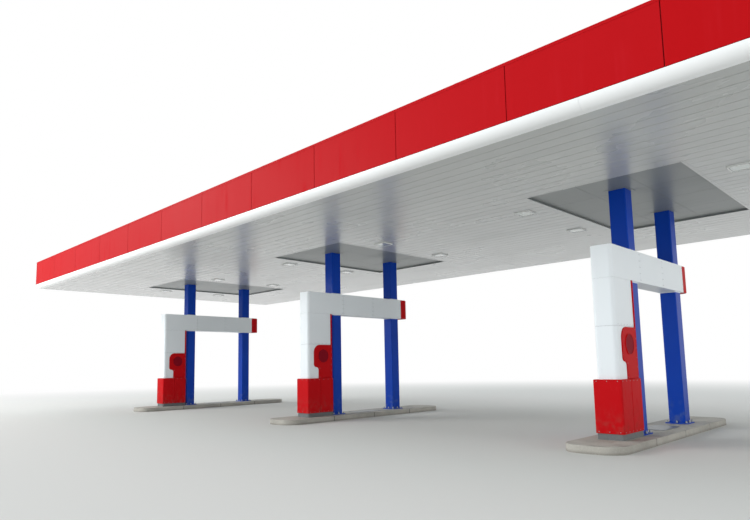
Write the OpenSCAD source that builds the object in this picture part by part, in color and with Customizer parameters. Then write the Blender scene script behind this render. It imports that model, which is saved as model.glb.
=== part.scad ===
// Filling station canopy on three islands.
// X runs along the canopy, Y across it, Z up. The origin is on the ground under its centre.

/* [Canopy] */
// Length over the fascia
canopy_l = 29200; // [24600:100:34600]
// Depth over the fascia
canopy_d = 12480; // [11000:20:14000]
// Height of the soffit above the ground
soffit_h = 5400; // [4600:50:6200]
// Height of the red fascia band
fascia_h = 1010; // [900:10:1400]
// Thickness of a fascia panel
fascia_t = 40; // [20:5:60]
// Largest width of a fascia panel
fascia_panel_w = 2550; // [1800:50:3000]
// Width of the joints between fascia panels
joint_w = 12; // [6:1:20]
// Depth of the joints between fascia panels
joint_d = 14; // [5:1:15]
// Width of the coping on top of the fascia
coping_w = 130; // [110:5:180]
// Height of the pale bullnose under the fascia
trim_h = 190; // [120:10:240]
// How far the bullnose runs in under the canopy
trim_in = 200; // [140:10:300]
// Wall of the bullnose
trim_t = 12; // [6:1:20]

/* [Islands] */
// Number of islands
island_count = 3; // [1:1:3]
// Distance between islands
island_pitch = 9600; // [7000:50:9700]
// Width of a plinth
plinth_w = 1200; // [900:20:1600]
// Front end of a plinth, before the canopy centre
plinth_front = 3700; // [3400:50:4600]
// Rear end of a plinth, behind the canopy centre
plinth_rear = 3400; // [2600:50:4600]
// Height of a plinth
plinth_h = 150; // [100:10:200]
// Radius of the plinth corners
plinth_r = 420; // [100:10:440]

/* [Columns] */
// Distance between the two columns of an island
column_gap = 2800; // [2200:20:3400]
// Side of the square column
column_w = 370; // [250:10:420]
// Outer corner radius of the column
column_r = 24; // [12:2:40]
// Wall of the column
column_t = 12; // [6:1:20]
// Side of the base plate
base_plate_w = 520; // [480:10:640]
// Thickness of base and cap plates
plate_t = 25; // [12:1:40]

/* [Portal] */
// Width of the leg and of the beam
portal_w = 460; // [440:10:560]
// Front of the leg, before the canopy centre
leg_front = 2650; // [2600:10:3000]
// Corner radius of the front of the leg and of the beam
portal_r = 90; // [40:5:150]
// Gap between the leg and the base plate of the front column
leg_gap = 25; // [5:5:90]
// Wall of the portal cladding
portal_t = 10; // [4:1:20]
// Underside of the beam above the ground
beam_z = 3380; // [3000:10:3800]
// Height of the beam
beam_h = 680; // [450:10:800]
// Rear end of the beam, behind the canopy centre
beam_rear = 2100; // [1950:10:2400]
// Length of the red end piece of the beam
cap_l = 400; // [300:10:440]
// Corner radius of the end piece
cap_r = 200; // [100:10:210]
// Top of the red leg base above the ground
base_top = 1330; // [900:10:1600]
// How far the leg base stands out from the leg
base_out = 60; // [30:5:100]
// Corner radius of the leg base
base_r = 40; // [20:5:80]
// Top of the red side panel above the ground
panel_top = 2380; // [1900:10:2700]
// Length of the head of the red side panel
panel_l = 750; // [600:10:800]
// Height of the head of the side panel
head_h = 700; // [560:10:900]
// Radius of the upper corner of the head
head_r = 240; // [100:10:300]
// Length of the stem under the head
stem_l = 560; // [300:10:600]
// Width of the strip from the side panel up to the beam
strip_w = 50; // [30:5:80]
// Thickness of the red side panel
panel_t = 18; // [8:1:30]

/* [Soffit] */
// Thickness of the soffit
soffit_t = 30; // [15:1:50]
// Width of a soffit plank
plank_w = 312; // [200:2:450]
// Width of the groove between two planks
groove_w = 9; // [4:1:15]
// Depth of the groove between two planks
groove_d = 13; // [5:1:13]
// Width of the ledge of the bullnose that carries the soffit
ledge_w = 70; // [40:5:100]
// Size of the sunk tray along the canopy
tray_l = 3300; // [2400:50:3800]
// Size of the sunk tray across the canopy
tray_d = 5200; // [4400:50:5600]
// Depth of the sunk tray
tray_h = 40; // [40:5:180]
// Thickness of the tray sheet
tray_t = 20; // [10:1:30]
// Side of a soffit light
light_w = 420; // [300:10:600]
// How far a light hangs below the soffit
light_drop = 26; // [10:1:60]
// Distance of a light from the island's centre line
light_x = 2350; // [2200:10:2600]
// Corner radius of a light
light_r = 30; // [10:5:60]
// Width of the frame round the glass of a light
light_rim = 32; // [15:1:60]
// Depth of the glass of a light in its frame
light_recess = 6; // [2:1:9]
// Width of a soffit rail
rail_w = 50; // [30:5:80]
// Distance from a tray to the nearest soffit rail
rail_clear = 150; // [80:10:300]
// Number of rail spacings between two trays
rail_spacings = 4; // [2:1:6]
// Number of rail spacings outside the end trays
end_spacings = 2; // [1:1:4]

/* [Steelwork] */
// Height of the ridge of the girders above their underside
girder_h = 640; // [560:10:700]
// Width of the girder flanges
girder_w = 210; // [160:10:260]
// Thickness of the girder flanges
flange_t = 18; // [10:1:30]
// Thickness of the girder web
web_t = 12; // [8:1:20]
// Height of the beams along the canopy
beam_along_h = 400; // [300:10:420]
// Width of the flanges of rafters and beams along
rafter_w = 150; // [100:10:200]
// Height of the edge channel
edge_h = 300; // [260:10:340]
// Width of the edge channel
edge_w = 80; // [60:5:100]
// Space outside the girder ends for gutter and brackets
edge_zone = 430; // [400:10:480]
// Roof fall in degrees
fall = 2; // [1:0.25:2.5]
// Height of a purlin
purlin_h = 150; // [120:10:170]
// Width of a purlin
purlin_w = 60; // [40:5:80]
// Thickness of cold formed sections
section_t = 5; // [3:1:8]
// Number of purlins on each slope
purlin_count = 6; // [4:1:8]
// Distance of the first purlin from the ridge
purlin_first = 180; // [120:10:240]
// Distance of the last purlin from the end of the girders
purlin_edge = 90; // [60:10:200]

/* [Roof] */
// Distance from rib to rib of the roof sheet
rib_pitch = 333; // [200:1:400]
// Height of a roof rib
rib_h = 38; // [20:1:50]
// Width of a rib at its top
rib_top = 60; // [30:1:90]
// Width of a rib at its foot
rib_foot = 120; // [100:1:150]
// Thickness of the roof sheet
sheet_t = 4; // [2:1:8]
// Distance from the ridge to the end of a roof sheet
ridge_gap = 30; // [10:5:60]
// How far the roof sheet reaches over the gutter
sheet_over = 110; // [60:10:160]
// Gap between the sides of the roof sheet and the fascia posts
sheet_gap = 5; // [2:1:20]
// Width of a wing of the ridge cap
ridge_wing = 230; // [150:10:300]
// Depth of the lip of the ridge cap
ridge_lip = 20; // [10:1:40]
// Depth of the gutter
gutter_h = 190; // [120:5:220]
// Thickness of the gutter sheet
gutter_t = 5; // [3:1:8]
// Side of a fascia bracket tube
bracket_w = 60; // [40:5:80]
// Largest distance between fascia brackets
bracket_pitch = 2400; // [1500:100:3000]

/* [Dispenser seat] */
// Length of the seat plate across the canopy
seat_l = 1000; // [800:10:1400]
// Width of the seat plate
seat_w = 560; // [440:10:800]
// Thickness of the seat plate
seat_t = 12; // [8:1:20]
// Bolt spacing along the seat plate
seat_bolt_l = 860; // [600:10:1200]
// Bolt spacing across the seat plate
seat_bolt_w = 420; // [300:10:600]
// Diameter of the bolt holes
seat_hole_d = 18; // [12:1:24]
// Depth of the bolt holes in the plinth
seat_hole_depth = 90; // [50:5:90]
// Corner radius of the seat plate
seat_r = 30; // [5:5:60]

/* [Hidden] */
$fn = 48;

fascia_red = "#c01a22";
trim_white = "#eef0f0";
column_blue = "#1c4390";
portal_white = "#dde4e8";
soffit_grey = "#c4c6c4";
tray_grey = "#9a9c9a";
steel_grey = "#8d9196";
roof_grey = "#a9b0b3";
concrete = "#b3b0a8";

half_l = canopy_l / 2;
half_d = canopy_d / 2;
fascia_z = soffit_h + trim_h;
fascia_top = fascia_z + fascia_h;
column_y = column_gap / 2;
tray_top = soffit_h + tray_h + tray_t;
steel_z = tray_top;
girder_tip = half_d - edge_zone;
frame_end = half_l - edge_zone;
leg_back = column_y + base_plate_w / 2 + leg_gap;
post_in = fascia_t + bracket_w;

// X of every island, and of every member that crosses the canopy
island_x = [for (i = [0:island_count - 1]) (i - (island_count - 1) / 2) * island_pitch];
rafter_x = concat(
    [-frame_end + rafter_w / 2],
    [for (i = [0:1:island_count - 2]) (island_x[i] + island_x[i + 1]) / 2],
    [frame_end - rafter_w / 2]);

// Height of a girder's top at a distance y from the ridge
function girder_top(y) = steel_z + girder_h - abs(y) * tan(fall);

// A plate in the YZ plane, centred on X
module yz_plate(t) {
    rotate([90, 0, 90]) linear_extrude(t, center = true) children();
}

// A bar along X whose section is drawn in Y and Z
module x_bar(l) {
    rotate([90, 0, 90]) linear_extrude(l, center = true) children();
}

module rounded_rect(l, w, r) {
    square([l - 2 * r, w], center = true);
    square([l, w - 2 * r], center = true);
    for (x = [-1, 1], y = [-1, 1])
        translate([x * (l / 2 - r), y * (w / 2 - r)]) circle(r);
}

module at_island(i) {
    translate([island_x[i], 0, 0]) children();
}

// Holes of the dispenser seat, from z = 0 down
module seat_holes(depth) {
    for (x = [-1, 1], y = [-1, 1])
        translate([x * seat_bolt_w / 2, y * seat_bolt_l / 2, -depth])
            cylinder(h = 2 * depth, d = seat_hole_d);
}

// Raised concrete plinth with rounded ends
module island_plinth(i) {
    mid_y = (plinth_rear - plinth_front) / 2;
    color(concrete) at_island(i) difference() {
        translate([0, mid_y, 0]) linear_extrude(plinth_h)
            rounded_rect(plinth_w, plinth_front + plinth_rear, plinth_r);
        translate([0, 0, plinth_h]) seat_holes(seat_hole_depth);
    }
}

// Steel plate between the columns, where a dispenser is bolted down
module dispenser_seats() {
    color(steel_grey) for (i = [0:island_count - 1])
        at_island(i) translate([0, 0, plinth_h]) difference() {
            linear_extrude(seat_t) rounded_rect(seat_w, seat_l, seat_r);
            seat_holes(2 * seat_t);
        }
}

// Square hollow column with base plate and cap plate
module column(i, side) {
    tube_z = plinth_h + plate_t;
    tube_h = steel_z - plate_t - tube_z;
    color(column_blue) at_island(i) translate([0, side * column_y, 0]) {
        translate([0, 0, tube_z]) linear_extrude(tube_h) difference() {
            rounded_rect(column_w, column_w, column_r);
            rounded_rect(column_w - 2 * column_t, column_w - 2 * column_t, column_r - column_t / 2);
        }
        translate([0, 0, plinth_h]) linear_extrude(plate_t)
            rounded_rect(base_plate_w, base_plate_w, column_r);
        translate([0, 0, steel_z - plate_t]) linear_extrude(plate_t)
            rounded_rect(column_w, column_w, column_r);
    }
}

// Plan of the portal, from its front to its rear end, with rounded front corners
module portal_plan(front, rear, w, r) {
    translate([-w / 2, r - front]) square([w, front + rear - r]);
    translate([r - w / 2, -front]) square([w - 2 * r, front + rear]);
    for (side = [-1, 1])
        translate([side * (w / 2 - r), r - front]) circle(r);
}

// Plan of the space inside the portal cladding
module portal_hollow(front, rear) {
    portal_plan(front - portal_t, rear - portal_t, portal_w - 2 * portal_t, portal_r - portal_t);
}

// Hollow leg in front of the column pair
module portal_leg(i) {
    color(portal_white) at_island(i) translate([0, 0, plinth_h])
        linear_extrude(beam_z - plinth_h) difference() {
            portal_plan(leg_front, -leg_back, portal_w, portal_r);
            portal_hollow(leg_front, -leg_back);
        }
}

// Outline of the red side panel: a stem, a head that swells forward, and a strip up to the beam
module side_panel_outline() {
    sweep = (panel_l - stem_l) / 2;
    head_z = panel_top - head_h;
    translate([-leg_back, 0]) {
        translate([-strip_w, base_top]) square([strip_w, beam_z - base_top]);
        translate([-stem_l, base_top]) square([stem_l, panel_top - base_top]);
        translate([head_r - panel_l, head_z + sweep]) square([panel_l - head_r, head_h - sweep]);
        translate([-panel_l, head_z + sweep]) square([panel_l, head_h - sweep - head_r]);
        translate([head_r - panel_l, panel_top - head_r]) circle(head_r);
        translate([sweep - panel_l, head_z + sweep]) circle(sweep);
        translate([sweep - panel_l, head_z]) square([sweep, sweep]);
        translate([sweep - panel_l, head_z - sweep]) difference() {
            square([sweep, sweep]);
            circle(sweep);
        }
    }
}

// Red casing round the foot of the leg, with a side panel on each face
module leg_base(i) {
    color(fascia_red) at_island(i) {
        translate([0, 0, plinth_h]) linear_extrude(base_top - plinth_h) difference() {
            portal_plan(leg_front + base_out, -leg_back, portal_w + 2 * base_out, base_r);
            portal_plan(leg_front, -leg_back + 1, portal_w, portal_r);
        }
        for (side = [-1, 1])
            translate([side * (portal_w + panel_t) / 2, 0, 0]) yz_plate(panel_t) side_panel_outline();
    }
}

// Hollow box beam that clads both columns
module portal_beam(i) {
    rear = beam_rear - cap_l;
    color(portal_white) at_island(i) difference() {
        translate([0, 0, beam_z]) linear_extrude(beam_h)
            portal_plan(leg_front, rear, portal_w, portal_r);
        translate([0, 0, beam_z + portal_t]) linear_extrude(beam_h - 2 * portal_t)
            portal_hollow(leg_front, rear);
        for (side = [-1, 1])
            translate([0, side * column_y, beam_z - 1]) linear_extrude(beam_h + 2)
                square(column_w, center = true);
    }
}

// Red rounded end of each beam
module beam_caps() {
    color(fascia_red) for (i = [0:island_count - 1])
        at_island(i) translate([0, 0, beam_z]) linear_extrude(beam_h) mirror([0, 1])
            portal_plan(beam_rear, cap_l - beam_rear, portal_w, cap_r);
}

// Side view of a member that follows the roof, from its underside at steel_z
module roof_member_outline(inset = 0) {
    polygon([
        [-girder_tip, steel_z + inset],
        [girder_tip, steel_z + inset],
        [girder_tip, girder_top(girder_tip) - inset],
        [0, girder_top(0) - inset],
        [-girder_tip, girder_top(girder_tip) - inset]
    ]);
}

// An I section whose top follows the roof and whose underside is level, stiffened over the columns
module roof_member(w) {
    yz_plate(web_t) roof_member_outline();
    yz_plate(w) difference() {
        roof_member_outline();
        roof_member_outline(flange_t);
    }
    for (side = [-1, 1])
        translate([0, side * (girder_tip - plate_t / 2), 0]) yz_plate(w)
            translate([-plate_t / 2, steel_z])
                square([plate_t, girder_top(girder_tip) - steel_z]);
    for (side = [-1, 1])
        translate([-w / 2, side * column_y - web_t / 2, steel_z])
            cube([w, web_t, girder_top(column_y) - steel_z - flange_t / 2]);
}

// Girders over the column pairs
module cross_girders() {
    color(steel_grey) for (i = [0:island_count - 1]) at_island(i) roof_member(girder_w);
}

// Lighter rafters at the ends and halfway between islands
module rafters() {
    color(steel_grey) for (x = rafter_x) translate([x, 0, 0]) roof_member(rafter_w);
}

module i_section(h, w) {
    translate([-web_t / 2, 0]) square([web_t, h]);
    for (z = [0, h - flange_t]) translate([-w / 2, z]) square([w, flange_t]);
}

module channel(h, w) {
    difference() {
        square([w, h]);
        translate([web_t, web_t]) square([w, h - 2 * web_t]);
    }
}

// A beam over one row of columns, from the edge of a rafter to the edge of the girder beside it
module beam_between(rafter, girder) {
    side = sign(girder - rafter);
    from = rafter + side * rafter_w / 2;
    to = girder - side * girder_w / 2;
    translate([(from + to) / 2, 0, 0]) x_bar(abs(to - from)) i_section(beam_along_h, rafter_w);
}

// Beams along both rows of columns, and channels along the ends of girders and rafters
module beams_along() {
    color(steel_grey) for (side = [0, 1]) mirror([0, side, 0]) {
        for (i = [0:island_count - 1], k = [i, i + 1])
            translate([0, column_y, steel_z]) beam_between(rafter_x[k], island_x[i]);
        translate([0, girder_tip, steel_z]) x_bar(2 * frame_end) channel(edge_h, edge_w);
    }
}

// Places what follows on the rear slope, y measured down the slope from the ridge
module on_slope() {
    translate([0, 0, girder_top(0)]) rotate([-fall, 0, 0]) children();
}

slope_l = girder_tip / cos(fall);
purlin_last = slope_l - purlin_edge;

// Cold formed channels on top of the girders
module purlins() {
    step = (purlin_last - purlin_first) / (purlin_count - 1);
    color(steel_grey) for (side = [0, 1], k = [0:purlin_count - 1])
        mirror([0, side, 0]) on_slope()
            translate([0, purlin_first + k * step, 0]) x_bar(2 * frame_end) difference() {
                translate([-purlin_w / 2, 0]) square([purlin_w, purlin_h]);
                translate([-purlin_w / 2 + section_t, section_t])
                    square([purlin_w, purlin_h - 2 * section_t]);
            }
}

sheet_end = half_l - post_in - sheet_gap;
rib_count = floor((2 * sheet_end - rib_foot) / rib_pitch);

// One line of the sheet profile from left to right, raised by z
function sheet_line(z) = [
    each [[-sheet_end, z]],
    for (k = [0:rib_count - 1]) let (x = (k - (rib_count - 1) / 2) * rib_pitch)
        each [[x - rib_foot / 2, z], [x - rib_top / 2, z + rib_h],
              [x + rib_top / 2, z + rib_h], [x + rib_foot / 2, z]],
    each [[sheet_end, z]]
];

function reversed(list) = [for (k = [len(list) - 1:-1:0]) list[k]];

// Ribbed sheet of one slope, from near the ridge to over the gutter
module roof_sheet() {
    on_slope() translate([0, slope_l + sheet_over, purlin_h]) rotate([90, 0, 0])
        linear_extrude(slope_l + sheet_over - ridge_gap)
            polygon(concat(sheet_line(0), reversed(sheet_line(sheet_t))));
}

module roof_front() {
    color(roof_grey) mirror([0, 1, 0]) roof_sheet();
}

module roof_rear() {
    color(roof_grey) roof_sheet();
}

// Point in Y and Z at a distance down one slope and a height above its girder
function slope_point(side, down, up) = [
    side * (down * cos(fall) + up * sin(fall)),
    girder_top(0) - down * sin(fall) + up * cos(fall)
];

// Folded capping over the ridge, with a lip on each wing
module ridge_cap() {
    wing = ridge_wing;
    foot = purlin_h + rib_h + sheet_t - ridge_lip;
    low = purlin_h + rib_h + sheet_t;
    high = low + sheet_t;
    apex = girder_top(0) + high / cos(fall);
    color(roof_grey) x_bar(2 * sheet_end) polygon([
        slope_point(-1, wing, high), [0, apex], slope_point(1, wing, high),
        slope_point(1, wing, foot), slope_point(1, wing - sheet_t, foot),
        slope_point(1, wing - sheet_t, low), [0, apex - sheet_t / cos(fall)],
        slope_point(-1, wing - sheet_t, low), slope_point(-1, wing - sheet_t, foot),
        slope_point(-1, wing, foot)
    ]);
}

// Box gutters on the edge channels, behind the fascia
module gutters() {
    y0 = girder_tip + web_t;
    w = half_d - post_in - y0;
    color(roof_grey) for (side = [0, 1]) mirror([0, side, 0])
        translate([0, y0, steel_z + edge_h]) x_bar(2 * (half_l - post_in)) difference() {
            square([w, gutter_h]);
            translate([gutter_t, gutter_t]) square([w - 2 * gutter_t, gutter_h]);
        }
}

// One bracket: an arm out of the edge frame and a post behind the fascia
module bracket(reach) {
    arm_z = steel_z + edge_h - web_t - bracket_w;
    translate([-bracket_w / 2, -reach, arm_z]) cube([bracket_w, reach, bracket_w]);
    translate([-bracket_w / 2, -bracket_w, fascia_z])
        cube([bracket_w, bracket_w, fascia_h - fascia_t / 2]);
}

// Brackets that hold the fascia, evenly spaced on all four sides
module fascia_brackets() {
    reach = edge_zone - fascia_t - web_t;
    end_reach = edge_zone - fascia_t + (rafter_w - web_t) / 2;
    n = ceil(2 * frame_end / bracket_pitch);
    m = ceil(2 * girder_tip / bracket_pitch);
    color(steel_grey) {
        for (side = [0, 1], k = [0:n])
            mirror([0, side, 0])
                translate([(k / n - 0.5) * 2 * (frame_end - bracket_w), half_d - fascia_t, 0])
                    bracket(reach);
        for (side = [0, 1], k = [1:m - 1])
            mirror([side, 0, 0])
                translate([half_l - fascia_t, (k / m - 0.5) * 2 * girder_tip, 0])
                    rotate([0, 0, -90]) bracket(end_reach);
    }
}

// Section of the fascia with its coping, outer face at x = 0, inwards is -x
module fascia_section() {
    translate([-fascia_t, fascia_z]) square([fascia_t, fascia_h]);
    translate([-coping_w, fascia_top - fascia_t / 2]) square([coping_w, fascia_t / 2]);
}

// Quarter ellipse of the bullnose from one angle to another, its wall set in by t
function trim_arc(from, to, t) = let (steps = 10) [
    for (k = [0:steps]) let (a = from + (to - from) * k / steps)
        [-trim_in + (trim_in - t) * cos(a), fascia_z - (trim_h - t) * sin(a)]
];

// Section of the bullnose under the fascia: a flange under the panel, a thin curved wall
// and a ledge on which the edge of the soffit hangs
module trim_section() {
    seat = soffit_h + soffit_t;
    polygon(concat(
        trim_arc(0, 90, 0),
        [[-trim_in, seat], [-trim_in - ledge_w, seat],
         [-trim_in - ledge_w, seat + trim_t], [-trim_in + trim_t, seat + trim_t]],
        trim_arc(acos(trim_t / (trim_in - trim_t)), asin(trim_t / (trim_h - trim_t)), trim_t),
        [[-fascia_t, fascia_z - trim_t], [-fascia_t, fascia_z]]));
}

// A length of edge section along one side, mitred at both ends
module mitred_side(length, offset) {
    difference() {
        translate([0, offset, 0]) x_bar(length) children();
        for (side = [-1, 1])
            translate([side * length / 2, offset, 0]) rotate([0, 0, side * 45])
                translate([side > 0 ? 0 : -length, -length, 0])
                    cube([length, 2 * length, 2 * fascia_top]);
    }
}

// One side of the fascia under its coping, with open joints between the panels
module fascia_side(length, offset) {
    count = ceil(length / fascia_panel_w);
    color(fascia_red) difference() {
        mitred_side(length, offset) fascia_section();
        for (k = [1:1:count - 1])
            translate([(k / count - 0.5) * length - joint_w / 2, offset - joint_d, fascia_z - 1])
                cube([joint_w, joint_d + 1, fascia_h - fascia_t / 2 + 1]);
    }
}

module trim_side(length, offset) {
    color(trim_white) mitred_side(length, offset) trim_section();
}

module fascia_rear() { fascia_side(canopy_l, half_d); }
module fascia_front() { rotate([0, 0, 180]) fascia_side(canopy_l, half_d); }
module fascia_left() { rotate([0, 0, 90]) fascia_side(canopy_d, half_l); }
module fascia_right() { rotate([0, 0, -90]) fascia_side(canopy_d, half_l); }

module trim_rear() { trim_side(canopy_l, half_d); }
module trim_front() { rotate([0, 0, 180]) trim_side(canopy_l, half_d); }
module trim_left() { rotate([0, 0, 90]) trim_side(canopy_d, half_l); }
module trim_right() { rotate([0, 0, -90]) trim_side(canopy_d, half_l); }

soffit_end_x = half_l - trim_in;
soffit_end_y = half_d - trim_in;

// A field of soffit planks that run along X, with grooves between them
module plank_field(length, width) {
    count = round(width / plank_w);
    difference() {
        cube([length, width, soffit_t]);
        for (k = [1:1:count - 1])
            translate([-1, k * width / count - groove_w / 2, -1])
                cube([length + 2, groove_w, groove_d + 1]);
    }
}

// Soffit strip along the front or the rear
module soffit_strip() {
    color(soffit_grey) translate([-soffit_end_x, tray_d / 2, soffit_h])
        plank_field(2 * soffit_end_x, soffit_end_y - tray_d / 2);
}

module soffit_rear() { soffit_strip(); }
module soffit_front() { mirror([0, 1, 0]) soffit_strip(); }

// Fields of soffit beside the trays
module soffit_bays() {
    lefts = concat([-soffit_end_x], [for (x = island_x) x + tray_l / 2]);
    rights = concat([for (x = island_x) x - tray_l / 2], [soffit_end_x]);
    color(soffit_grey) for (k = [0:island_count])
        translate([lefts[k], -tray_d / 2, soffit_h]) plank_field(rights[k] - lefts[k], tray_d);
}

// Sunk tray round a column pair, with upstands down to the soffit
module soffit_tray(i) {
    inner_l = tray_l - 2 * tray_t;
    inner_d = tray_d - 2 * tray_t;
    rim = tray_top - tray_t - soffit_h;
    color(tray_grey) at_island(i) difference() {
        translate([-tray_l / 2, -tray_d / 2, soffit_h]) cube([tray_l, tray_d, rim + tray_t]);
        translate([-inner_l / 2, -inner_d / 2, soffit_h - 1]) cube([inner_l, inner_d, rim + 1]);
        for (side = [-1, 1])
            translate([0, side * column_y, tray_top - tray_t - 1])
                linear_extrude(tray_t + 2) square(column_w, center = true);
    }
}

// Rails that carry the soffit under the beams
module soffit_rails() {
    rail_h = steel_z - soffit_h - soffit_t;
    start = tray_l / 2 + rail_clear;
    bay = island_pitch - 2 * start;
    end_bay = soffit_end_x - island_x[island_count - 1] - start - rail_clear;
    between = [for (i = [0:1:island_count - 2], k = [0:rail_spacings])
        island_x[i] + start + k * bay / rail_spacings];
    outside = [for (side = [-1, 1], k = [0:end_spacings])
        side * (island_x[island_count - 1] + start + k * end_bay / end_spacings)];
    color(steel_grey) for (x = concat(between, outside))
        translate([x - rail_w / 2, -girder_tip - edge_w, soffit_h + soffit_t])
            cube([rail_w, 2 * (girder_tip + edge_w), rail_h]);
}

// Flat light fittings in two rows beside each island, their glass set back in a frame
module soffit_lights() {
    color(trim_white) for (x = island_x, side = [-1, 1], row = [-1, 1])
        translate([x + side * light_x, row * column_y, soffit_h - light_drop]) difference() {
            linear_extrude(light_drop) rounded_rect(light_w, light_w, light_r);
            translate([0, 0, -1]) linear_extrude(light_recess + 1)
                rounded_rect(light_w - 2 * light_rim, light_w - 2 * light_rim, light_r / 2);
        }
}

island_plinth(0);  // island_plinth_1
island_plinth(1);  // island_plinth_2
island_plinth(2);  // island_plinth_3
dispenser_seats();
column(0, -1);  // column_1_front
column(0, 1);  // column_1_rear
column(1, -1);  // column_2_front
column(1, 1);  // column_2_rear
column(2, -1);  // column_3_front
column(2, 1);  // column_3_rear
portal_leg(0);  // portal_leg_1
portal_leg(1);  // portal_leg_2
portal_leg(2);  // portal_leg_3
leg_base(0);  // leg_base_1
leg_base(1);  // leg_base_2
leg_base(2);  // leg_base_3
portal_beam(0);  // portal_beam_1
portal_beam(1);  // portal_beam_2
portal_beam(2);  // portal_beam_3
beam_caps();
cross_girders();
rafters();
beams_along();
purlins();
fascia_brackets();
roof_front();
roof_rear();
ridge_cap();
gutters();
fascia_front();
fascia_rear();
fascia_left();
fascia_right();
trim_front();
trim_rear();
trim_left();
trim_right();
soffit_front();
soffit_rear();
soffit_bays();
soffit_tray(0);  // soffit_tray_1
soffit_tray(1);  // soffit_tray_2
soffit_tray(2);  // soffit_tray_3
soffit_rails();
soffit_lights();
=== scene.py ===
import math
from itertools import pairwise

import bmesh
import bpy
from mathutils import Matrix, Vector


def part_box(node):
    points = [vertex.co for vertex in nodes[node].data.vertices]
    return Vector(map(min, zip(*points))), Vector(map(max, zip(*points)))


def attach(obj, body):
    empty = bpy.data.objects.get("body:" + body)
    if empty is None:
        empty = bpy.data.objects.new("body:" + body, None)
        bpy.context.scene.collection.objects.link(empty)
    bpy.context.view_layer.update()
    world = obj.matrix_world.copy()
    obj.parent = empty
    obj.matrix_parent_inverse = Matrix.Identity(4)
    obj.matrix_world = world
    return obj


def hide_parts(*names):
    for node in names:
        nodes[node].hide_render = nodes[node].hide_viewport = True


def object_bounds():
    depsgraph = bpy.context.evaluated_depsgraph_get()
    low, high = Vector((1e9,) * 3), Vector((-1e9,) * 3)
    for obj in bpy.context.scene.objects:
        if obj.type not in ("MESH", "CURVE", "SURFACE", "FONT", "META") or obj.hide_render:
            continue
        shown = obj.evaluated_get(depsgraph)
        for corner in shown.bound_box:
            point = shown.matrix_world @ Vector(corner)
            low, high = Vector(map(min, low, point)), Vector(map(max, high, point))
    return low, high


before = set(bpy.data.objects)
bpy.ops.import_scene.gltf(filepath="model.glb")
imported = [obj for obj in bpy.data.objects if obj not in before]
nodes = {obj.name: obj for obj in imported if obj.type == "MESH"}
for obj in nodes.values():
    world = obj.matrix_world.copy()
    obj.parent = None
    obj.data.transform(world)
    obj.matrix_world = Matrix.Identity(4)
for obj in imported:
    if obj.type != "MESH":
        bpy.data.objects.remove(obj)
cad_low, cad_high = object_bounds()

BODY = "root"
ISLANDS = (1, 2, 3)
ROWS = ("front", "rear")
HALF_L = cad_high.x
HALF_D = cad_high.y


def placed(name, data):
    """A new object at the origin of the scene."""
    made = bpy.data.objects.new(name, data)
    bpy.context.scene.collection.objects.link(made)
    return made


# Camera and light

CAMERA_AT = (14.587, -14.347, 1.6921)
CAMERA_YAW = 0.773373
CAMERA_PITCH = 0.114265
CAMERA_ROLL = -0.019117
CAMERA_LENS = 28.291
CAMERA_SHIFT = 0.05057
SENSOR = 36.0
SIGHT = 500


def make_camera():
    """The photograph's view, from standing height in front of the right end."""
    data = bpy.data.cameras.new("camera")
    data.lens = CAMERA_LENS
    data.sensor_width = SENSOR
    data.shift_y = CAMERA_SHIFT
    data.clip_end = SIGHT
    camera = placed("camera", data)
    turn = Matrix.Rotation(CAMERA_YAW, 4, "Z") @ Matrix.Rotation(math.pi / 2 + CAMERA_PITCH, 4, "X")
    camera.matrix_world = Matrix.Translation(CAMERA_AT) @ turn @ Matrix.Rotation(CAMERA_ROLL, 4, "Z")
    bpy.context.scene.camera = camera


def make_lamp(name, at, target, size, power):
    """A broad soft lamp that faces its target."""
    data = bpy.data.lights.new(name, "AREA")
    data.shape = "RECTANGLE"
    data.size, data.size_y = size
    data.energy = power
    lamp = placed(name, data)
    lamp.location = at
    lamp.rotation_euler = (Vector(target) - Vector(at)).to_track_quat("-Z", "Y").to_euler()


# Node trees

class Value:
    """An output socket. Arithmetic on it adds Math nodes to its tree."""

    def __init__(self, tree, socket):
        self.tree = tree
        self.socket = socket

    def math(self, operation, *others):
        return self.tree.node("ShaderNodeMath", [self, *others], {"operation": operation})

    def __add__(self, other):
        return self.math("ADD", other)

    def __sub__(self, other):
        return self.math("SUBTRACT", other)

    def __mul__(self, other):
        return self.math("MULTIPLY", other)

    def __rsub__(self, other):
        return self.tree.node("ShaderNodeMath", [other, self], {"operation": "SUBTRACT"})

    __radd__ = __add__
    __rmul__ = __mul__

    def ramp(self, low, high):
        """0 where this is low or less, 1 where it is high or more, smooth between."""
        return self.tree.node("ShaderNodeMapRange", {"Value": self, "From Min": low, "From Max": high},
                              {"interpolation_type": "SMOOTHSTEP"})

    def output(self, name):
        """Another output of the same node."""
        return Value(self.tree, self.socket.node.outputs[name])


class Tree:
    """Adds nodes to a node tree, each by one call."""

    def __init__(self, node_tree):
        self.node_tree = node_tree

    def node(self, kind, values=(), settings=(), out=0):
        """A node with its settings, and values or links for its inputs by name or in order."""
        made = self.node_tree.nodes.new(kind)
        for name, setting in dict(settings).items():
            setattr(made, name, setting)
        for key, value in values.items() if isinstance(values, dict) else enumerate(values):
            if isinstance(value, Value):
                self.node_tree.links.new(value.socket, made.inputs[key])
            else:
                made.inputs[key].default_value = value
        return Value(self, made.outputs[out]) if made.outputs else None

    def blend(self, factor, first, second):
        """From the first shader at 0 to the second at 1."""
        return self.node("ShaderNodeMixShader", [factor, first, second])


def tone(code):
    """Linear colour of a code such as c01a22."""
    parts = [int(code[k:k + 2], 16) / 255 for k in (0, 2, 4)]
    return tuple(p / 12.92 if p <= 0.04045 else ((p + 0.055) / 1.055) ** 2.4 for p in parts) + (1,)


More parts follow.
